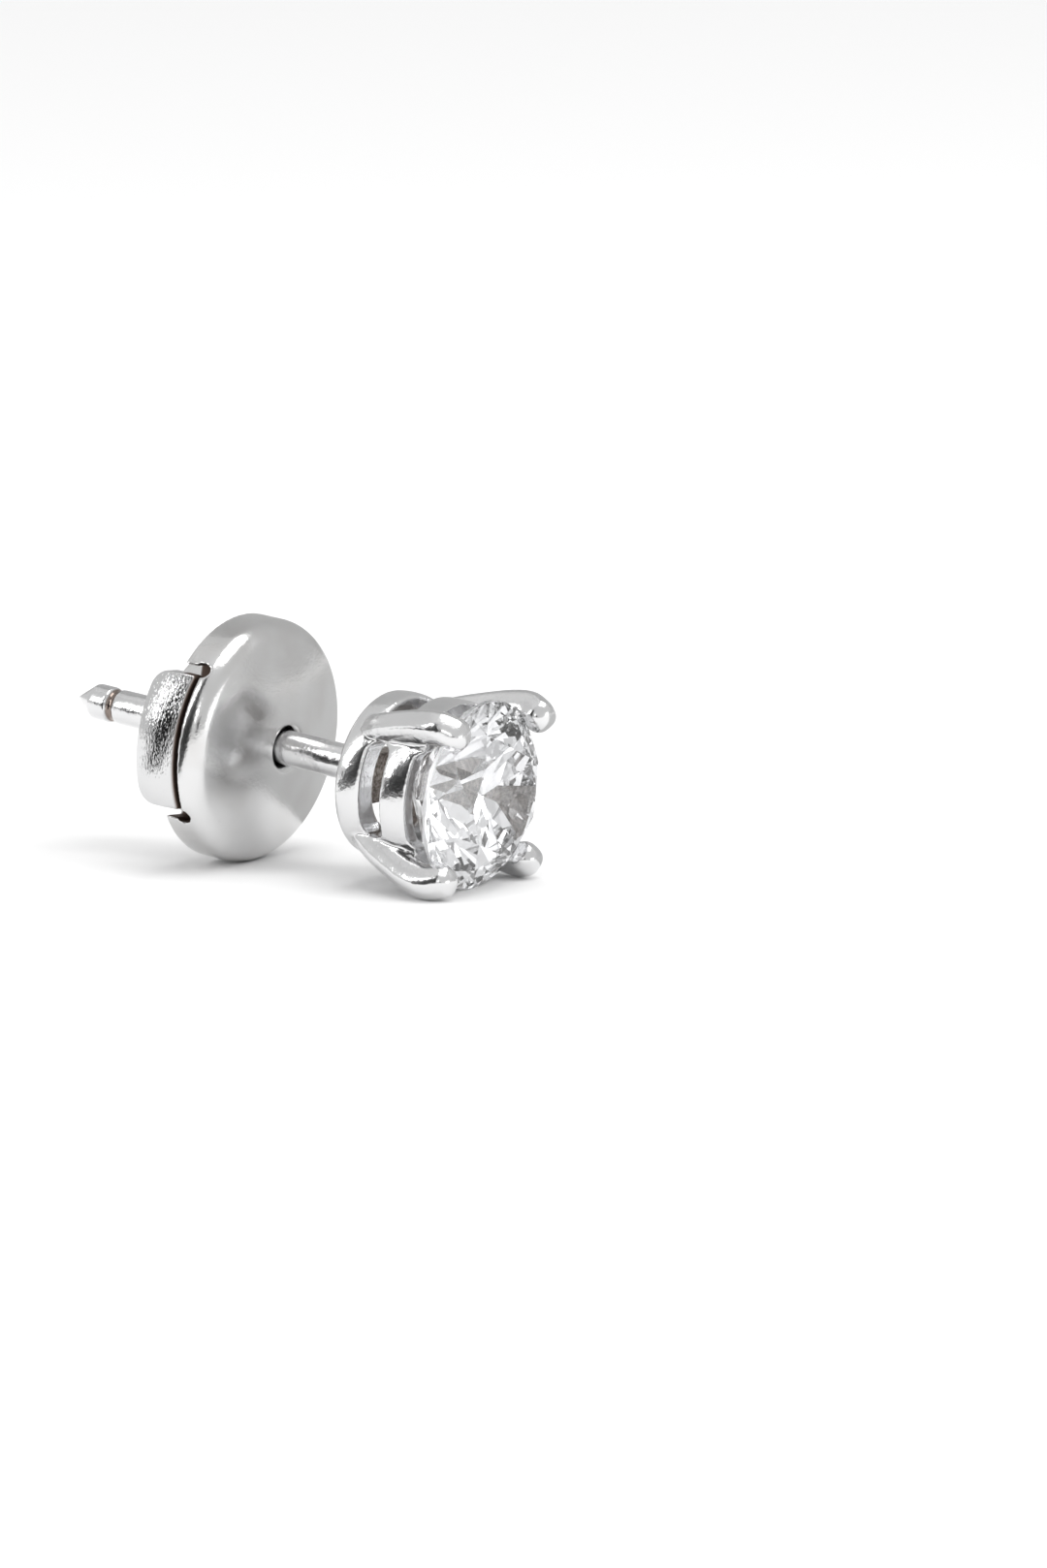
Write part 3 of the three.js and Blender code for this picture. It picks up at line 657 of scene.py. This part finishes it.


# %% [markdown]
# ### Polished white gold
# White gold is a pale alloy with a slight warmth, and a thin rhodium plate makes it a cooler, brighter
# white. Casting and hand polishing leave slow waves in the surface, and handling adds a fine grit that only
# shows where something dark is reflected. Inside the basket no wheel can reach, so the metal stays as cast,
# rougher and streaked, and a greyish brown is painted there as the shade inside the basket.

# %% Polished white gold, as cast inside with painted shade
def polished_white_gold():
    """A bright mirror with slow waves outside the basket, inside it a dull streaked skin in painted shade."""
    material, tree, shader = new_material("white_gold_cast_polished_rhodium_plated")
    place, parts, radius = around_post(tree, front)
    height = add(tree, "Math", {0: parts.outputs["Y"], 1: -1.0}, operation="MULTIPLY").outputs[0]

    # The inner wall widens from the base ring to the gallery ring, and the as-cast skin and its painted shade
    # follow it
    inner = add(tree, "MapRange", {
        "Value": height, "From Min": BASE_HEIGHT, "From Max": gallery_bottom,
        "To Min": base_inside, "To Max": gallery_inside}).outputs[0]
    depth = add(tree, "Math", {0: inner, 1: radius}, operation="SUBTRACT").outputs[0]
    inside = add(tree, "MapRange", {"Value": depth, "From Min": -0.06, "From Max": 0.02}).outputs[0]
    in_front = add(tree, "MapRange", {"Value": height, "From Min": 0.02, "From Max": 0.12}).outputs[0]
    cast_and_shaded = add(tree, "Math", {0: inside, 1: in_front}, operation="MULTIPLY").outputs[0]

    waves = add(tree, "TexNoise", {"Vector": place, "Scale": 1.4, "Detail": 2.0, "Roughness": 0.4})
    grit = add(tree, "TexNoise", {"Vector": place, "Scale": 9.0, "Detail": 1.5, "Roughness": 0.6})
    stretched = add(tree, "VectorMath", {0: place, 1: (30.0, 2.5, 30.0)}, operation="MULTIPLY").outputs[0]
    streaks = add(tree, "TexNoise", {"Vector": stretched, "Scale": 0.45, "Detail": 4.0, "Roughness": 0.6})
    patches = add(tree, "TexNoise", {"Vector": place, "Scale": 0.9, "Detail": 3.0})

    # Painted shade: the inside of the basket is coloured in dark streaks of greyish brown
    tone = add(tree, "ValToRGB", {"Fac": streaks.outputs["Fac"]})
    tone.color_ramp.elements[0].position = 0.36
    tone.color_ramp.elements[0].color = linear("#5E554F")
    tone.color_ramp.elements[1].position = 0.66
    tone.color_ramp.elements[1].color = linear("#BDB4AD")
    outer = add(tree, "ValToRGB", {"Fac": patches.outputs["Fac"]})
    outer.color_ramp.elements[0].color = linear("#DCDCDD")
    outer.color_ramp.elements[1].color = linear("#E8E8E8")
    metal = add(tree, "Mix", {0: cast_and_shaded, 6: outer.outputs["Color"], 7: tone.outputs["Color"]}, data_type="RGBA")

    # Skin oil and dust stay in the groove that the back locks into
    along = parts.outputs["Y"]
    after = add(tree, "MapRange", {
        "Value": along, "From Min": groove_start - 0.04, "From Max": groove_start + 0.02}).outputs[0]
    before = add(tree, "MapRange", {
        "Value": along, "From Min": collar_start + 0.04, "From Max": collar_start - 0.02}).outputs[0]
    sunk = add(tree, "MapRange", {
        "Value": radius, "From Min": post_radius - 0.01, "From Max": post_radius - 0.05}).outputs[0]
    in_groove = add(tree, "Math", {0: after, 1: before}, operation="MULTIPLY").outputs[0]
    dust = add(tree, "Math", {0: in_groove, 1: sunk}, operation="MULTIPLY").outputs[0]
    colour = add(tree, "Mix", {0: dust, 6: metal.outputs[2], 7: linear("#8D817A")}, data_type="RGBA")
    sheen_spread = add(tree, "MapRange", {
        "Value": patches.outputs["Fac"], "From Min": 0.3, "From Max": 0.7, "To Min": 0.14, "To Max": 0.20})
    rough = add(tree, "Mix", {0: cast_and_shaded, 2: sheen_spread.outputs[0], 3: 0.42}, data_type="FLOAT")

    slow = add(tree, "Bump", {"Height": waves.outputs["Fac"], "Distance": 30 * MICRON, "Strength": 1.0})
    fine = add(tree, "Bump", {
        "Height": grit.outputs["Fac"], "Distance": 6 * MICRON, "Strength": 1.0, "Normal": slow.outputs[0]})
    skin = add(tree, "Math", {0: cast_and_shaded, 1: streaks.outputs["Fac"]}, operation="MULTIPLY").outputs[0]
    grooves = add(tree, "Bump", {
        "Height": skin, "Distance": 14 * MICRON, "Strength": 1.0, "Normal": fine.outputs[0]})
    as_metal(tree, shader, colour, rough, grooves)
    return material


setting.data.materials.append(polished_white_gold())

# %% [markdown]
# ### Satin white gold
# The dome of the back rubs against skin and is only tumbled, so it is satin: broad, soft highlights with
# slow dents left by pressing, and a sparkle of fine grains. The shoulder and skirt are wheel polished.

# %% Satin dome, polished rim
def painted_shade_in_pockets(tree, parts, radius):
    """1 where shade is painted, inside the button windows and their notches, 0 elsewhere: nearer the post
    than the rim, and between the notches and the rear face of the skirt."""
    deep = add(tree, "MapRange", {
        "Value": radius, "From Min": clutch_radius - 0.015, "From Max": clutch_radius - 0.05}).outputs[0]
    behind = add(tree, "MapRange", {
        "Value": parts.outputs["Y"], "From Min": window_front - RELIEF_DEPTH - 0.03,
        "From Max": window_front - RELIEF_DEPTH + 0.02}).outputs[0]
    before = add(tree, "MapRange", {
        "Value": parts.outputs["Y"], "From Min": skirt_end - 0.02, "From Max": skirt_end - 0.1}).outputs[0]
    span = add(tree, "Math", {0: behind, 1: before}, operation="MULTIPLY").outputs[0]
    return add(tree, "Math", {0: deep, 1: span}, operation="MULTIPLY").outputs[0]


def satin_white_gold():
    """Soft wide highlights on the dome that tighten to streaks on the polished shoulder."""
    material, tree, shader = new_material("white_gold_turned_satin")
    place, parts, radius = around_post(tree, back)
    polished = add(tree, "MapRange", {
        "Value": radius, "From Min": clutch_radius - 0.55, "From Max": clutch_radius - 0.2}).outputs[0]
    dents = add(tree, "TexNoise", {"Vector": place, "Scale": 0.55, "Detail": 1.0, "Roughness": 0.4})
    grains = add(tree, "TexNoise", {"Vector": place, "Scale": 10.0, "Detail": 1.5, "Roughness": 0.6})
    patches = add(tree, "TexNoise", {"Vector": place, "Scale": 0.8, "Detail": 2.0, "Roughness": 0.5})
    marks = add(tree, "TexVoronoi", {"Vector": place, "Scale": 1.7}, feature="F1")
    nick = add(tree, "MapRange", {
        "Value": marks.outputs["Distance"], "From Min": 0.0, "From Max": 0.05, "To Min": 1.0, "To Max": 0.0})

    tone = add(tree, "ValToRGB", {"Fac": patches.outputs["Fac"]})
    tone.color_ramp.elements[0].position = 0.3
    tone.color_ramp.elements[0].color = linear("#D8D7D6")
    tone.color_ramp.elements[1].position = 0.6
    tone.color_ramp.elements[1].color = linear("#E0E0E0")
    marked = add(tree, "Mix", {
        0: nick.outputs[0], 6: tone.outputs["Color"], 7: linear("#8A8886")}, data_type="RGBA")
    # Painted shade inside the button windows and their notches
    pocket_shade = painted_shade_in_pockets(tree, parts, radius)
    colour = add(tree, "Mix", {0: pocket_shade, 6: marked.outputs[2], 7: linear(POCKET_SHADE)}, data_type="RGBA")
    satin = add(tree, "MapRange", {
        "Value": patches.outputs["Fac"], "From Min": 0.3, "From Max": 0.7, "To Min": 0.19, "To Max": 0.27})
    bright = add(tree, "Mix", {0: polished, 2: satin.outputs[0], 3: 0.18}, data_type="FLOAT")
    rough = add(tree, "Mix", {0: pocket_shade, 2: bright.outputs[0], 3: POCKET_SHADE_ROUGHNESS}, data_type="FLOAT")

    pressed = add(tree, "Bump", {"Height": dents.outputs["Fac"], "Distance": 55 * MICRON, "Strength": 1.0})
    fine = add(tree, "Bump", {
        "Height": grains.outputs["Fac"], "Distance": 4 * MICRON, "Strength": 1.0,
        "Normal": pressed.outputs[0]})
    nicked = add(tree, "Bump", {
        "Height": nick.outputs[0], "Distance": -8 * MICRON, "Strength": 1.0, "Normal": fine.outputs[0]})
    as_metal(tree, shader, colour, rough, nicked)
    return material


housing.data.materials.append(satin_white_gold())

# %% [markdown]
# ### Brushed white gold
# The press faces of the buttons are ground with a fine belt and worn by fingernails. Short scratches cross
# at shallow angles, so a dark reflection breaks up into a scratched band.

# %% Ground and scratched button faces
def brushed_white_gold():
    """A bright face whose reflections are torn along the scratches."""
    material, tree, shader = new_material("white_gold_ground_scratched")
    place, parts, radius = around_post(tree, back)
    scratches = []
    for angle in (12, -9, 34):
        turned_to = add(tree, "Mapping", {
            "Vector": place, "Rotation": (math.radians(angle), 0, 0), "Scale": (9.0, 18.0, 5.0)})
        scratches.append(add(tree, "TexNoise", {
            "Vector": turned_to.outputs[0], "Scale": 1.0, "Detail": 1.0, "Roughness": 0.6}).outputs["Fac"])
    crossed = add(tree, "Math", {0: scratches[0], 1: scratches[1]}, operation="MAXIMUM").outputs[0]
    crossed = add(tree, "Math", {0: crossed, 1: scratches[2]}, operation="MAXIMUM").outputs[0]
    patches = add(tree, "TexNoise", {"Vector": place, "Scale": 1.3, "Detail": 3.0})
    tone = add(tree, "ValToRGB", {"Fac": patches.outputs["Fac"]})
    tone.color_ramp.elements[0].color = linear("#D6D6D7")
    tone.color_ramp.elements[1].color = linear("#DEDEDE")
    # Painted shade inside the button windows and their notches
    pocket_shade = painted_shade_in_pockets(tree, parts, radius)
    colour = add(tree, "Mix", {0: pocket_shade, 6: tone.outputs["Color"], 7: linear(POCKET_SHADE)}, data_type="RGBA")
    worn = add(tree, "MapRange", {
        "Value": patches.outputs["Fac"], "From Min": 0.3, "From Max": 0.7, "To Min": 0.05, "To Max": 0.09})
    rough = add(tree, "Mix", {0: pocket_shade, 2: worn.outputs[0], 3: POCKET_SHADE_ROUGHNESS}, data_type="FLOAT")
    cut = add(tree, "Bump", {"Height": crossed, "Distance": 19 * MICRON, "Strength": 1.0})
    as_metal(tree, shader, colour, rough, cut)
    return material


ground_metal = brushed_white_gold()
for button in (near_button, far_button):
    button.data.materials.append(ground_metal)

# %% [markdown]
# ### Diamond
# A colourless diamond has an index of 2.42, so light that enters the table is thrown back by the pavilion.
# That play of light and dark needs flat facets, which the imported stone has, and a path that may bounce many
# times. The girdle is bruted, ground dull, and shows as a thin frosted line.

# %% Diamond with a bruted girdle
def diamond():
    """Clear and sharply flashing, with a frosted line for its girdle."""
    material, tree, shader = new_material("diamond_colourless_brilliant_cut")
    place, _, radius = around_post(tree, front)
    girdle = add(tree, "MapRange", {
        "Value": radius, "From Min": stone_radius - 0.03, "From Max": stone_radius - 0.012}).outputs[0]
    rough = add(tree, "MapRange", {"Value": girdle, "To Min": 0.0, "To Max": 0.35}).outputs[0]
    grain = add(tree, "TexNoise", {"Vector": place, "Scale": 30.0, "Detail": 2.0})
    bruted = add(tree, "Math", {0: grain.outputs["Fac"], 1: girdle}, operation="MULTIPLY").outputs[0]
    bump = add(tree, "Bump", {"Height": bruted, "Distance": 3 * MICRON, "Strength": 1.0})
    shader.inputs["Base Color"].default_value = linear("#FCFDFF")
    shader.inputs["Transmission Weight"].default_value = 1.0
    shader.inputs["IOR"].default_value = 2.42
    tree.links.new(rough, shader.inputs["Roughness"])
    tree.links.new(bump.outputs[0], shader.inputs["Normal"])
    return material


stone_node.data.materials.clear()
stone_node.data.materials.append(diamond())

# %% [markdown]
# ## Studio
# Jewellery is photographed on white, in a tent of soft light, with small cards: polished metal has no
# colour of its own, so black cards draw its form as dark streaks, and grey ones keep it from going white.
# The floor is a plain pale sheet. The world is the tent. Places are azimuth, elevation and distance.

# %% Floor and tent
def pale_sheet():
    """Matt white, so it shows no more than a soft shadow."""
    material, _, shader = new_material("matt_white_paper")
    shader.inputs["Base Color"].default_value = linear("#F4F4F4")
    shader.inputs["Roughness"].default_value = 0.9
    shader.inputs["Specular IOR Level"].default_value = 0.1
    return material


def flat_card(name, points, material):
    """A sheet whose edge runs through the points, in metres."""
    mesh = bpy.data.meshes.new(name)
    mesh.from_pydata([tuple(p) for p in points], [], [range(len(points))])
    mesh.materials.append(material)
    card = bpy.data.objects.new(name, mesh)
    bpy.context.scene.collection.objects.link(card)
    return card


FLOOR_REACH = 6.0
flat_card("floor", [(-FLOOR_REACH, -FLOOR_REACH, 0), (FLOOR_REACH, -FLOOR_REACH, 0),
                    (FLOOR_REACH, FLOOR_REACH, 0), (-FLOOR_REACH, FLOOR_REACH, 0)], pale_sheet())

TENT_BRIGHTNESS = 0.7
world = bpy.data.worlds.new("light_tent")
bpy.context.scene.world = world
world.use_nodes = True
tent = world.node_tree.nodes["Background"]
tent.inputs["Color"].default_value = linear("#FFFFFF")
tent.inputs["Strength"].default_value = TENT_BRIGHTNESS

# %% Softboxes and cards
BLACK_CARD = "#141414"
GREY_CARD = "#B8B8B8"
target = Vector((0, 0, (cad_high.z - cad_low.z) / 2))


def direction(azimuth, elevation):
    """Unit vector from the earring; azimuth 0 is in front of the stone, and elevation is above the floor."""
    a, e = math.radians(azimuth), math.radians(elevation)
    return Vector((math.sin(a) * math.cos(e), -math.cos(a) * math.cos(e), math.sin(e)))


def softbox(name, azimuth, elevation, distance, width, height, brightness, roll=0):
    """An area light that faces the earring, turned by roll about its own middle. brightness is its radiance;
    its power is that times its area times pi."""
    data = bpy.data.lights.new(name, "AREA")
    data.shape = "RECTANGLE"
    data.size, data.size_y = width, height
    data.energy = brightness * width * height * math.pi
    lamp = bpy.data.objects.new(name, data)
    towards = direction(azimuth, elevation)
    facing = towards.to_track_quat("Z", "Y") @ Quaternion((0, 0, 1), math.radians(roll))
    lamp.location = target + towards * distance
    lamp.rotation_euler = facing.to_euler()
    bpy.context.scene.collection.objects.link(lamp)
    return lamp


def studio_card(name, hex_colour, corners):
    """A matt card whose corners lie at the given azimuth, elevation and distance. It is seen in the metal
    alone, as a card just out of the picture is."""
    material, _, shader = new_material("matt_" + name)
    shader.inputs["Base Color"].default_value = linear(hex_colour)
    shader.inputs["Roughness"].default_value = 0.9
    card = flat_card(name, [target + direction(a, e) * distance for a, e, distance in corners], material)
    card.visible_camera = False
    card.visible_shadow = False
    card.visible_diffuse = False
    card.visible_transmission = False
    return card


softbox("overhead", 20, 80, 3.0, 2.0, 2.0, 2.9)
softbox("rear_left", -126, 30, 0.25, 0.055, 0.17, 3.5, roll=-19)
softbox("left_of_camera", -72, 25, 0.30, 0.05, 0.07, 2.6)
# This one lights the stone from in front. It is kept out of the metal, where it would hide the form
softbox("front", 12, 38, 0.30, 0.20, 0.16, 3.2).visible_glossy = False
# This one draws the streak on the shoulder of the back. It is kept out of the stone, which is bright enough
softbox("low_front", -5, 6, 0.30, 0.13, 0.09, 1.3).visible_transmission = False
studio_card("black_card_standing", BLACK_CARD, [
    (-130, -2, 0.1), (-92, -2, 0.1), (-81, 17, 0.1), (-88, 45, 0.1), (-90, 60, 0.1), (-108, 60, 0.1),
    (-113, 45, 0.1), (-126, 17, 0.1)])
studio_card("black_card_lying", BLACK_CARD, [
    (-136, -17, 0.0109), (-118, -17, 0.0109), (-92, -4, 0.045), (-92, -2, 0.1), (-130, -2, 0.1),
    (-130, -4, 0.045)])
studio_card("black_card_round_lens", BLACK_CARD, [
    (-61, 4, 0.2), (-49, 4, 0.2), (-49, 16, 0.2), (-61, 16, 0.2)])
studio_card("grey_card_rear_left", "#D8D8D8", [
    (-190, 52, 0.35), (-118, 52, 0.35), (-118, 76, 0.35), (-190, 76, 0.35)])
studio_card("grey_card_right", GREY_CARD, [
    (150, 0, 0.35), (30, 0, 0.35), (30, 55, 0.35), (150, 55, 0.35)])
studio_card("grey_card_lying", GREY_CARD, [
    (20, -38, 0.0053), (120, -38, 0.0053), (120, -1, 0.19), (20, -1, 0.19)])

# %% [markdown]
# ## Camera
# A long lens, a little above the floor and well to the side, so that the stone, the post and the back all
# show. Its distance, direction and lens were fitted to the outline of the real earring.

# %% Camera
FRAME_HEIGHT = 1618
FOCAL_PIXELS = 6573.5
SENSOR = 36
CAMERA_AT = (-142.353, -104.54, 32.374)
CAMERA_AZIMUTH, CAMERA_ELEVATION = -55.834, 9.66

camera_data = bpy.data.cameras.new("camera")
camera_data.sensor_width = SENSOR
camera_data.lens = SENSOR * FOCAL_PIXELS / FRAME_HEIGHT
camera_data.clip_start, camera_data.clip_end = 0.01, 20
camera = bpy.data.objects.new("camera", camera_data)
camera.location = Vector(CAMERA_AT) * MM
camera.rotation_euler = direction(CAMERA_AZIMUTH, CAMERA_ELEVATION).to_track_quat("Z", "Y").to_euler()
bpy.context.scene.collection.objects.link(camera)
bpy.context.scene.camera = camera

scene = bpy.context.scene
scene.view_settings.view_transform = "Standard"
scene.cycles.max_bounces = 24
scene.cycles.transmission_bounces = 20
scene.cycles.glossy_bounces = 12
scene.cycles.caustics_reflective = True
scene.cycles.caustics_refractive = True

# %% Update the scene
bpy.context.view_layer.update()
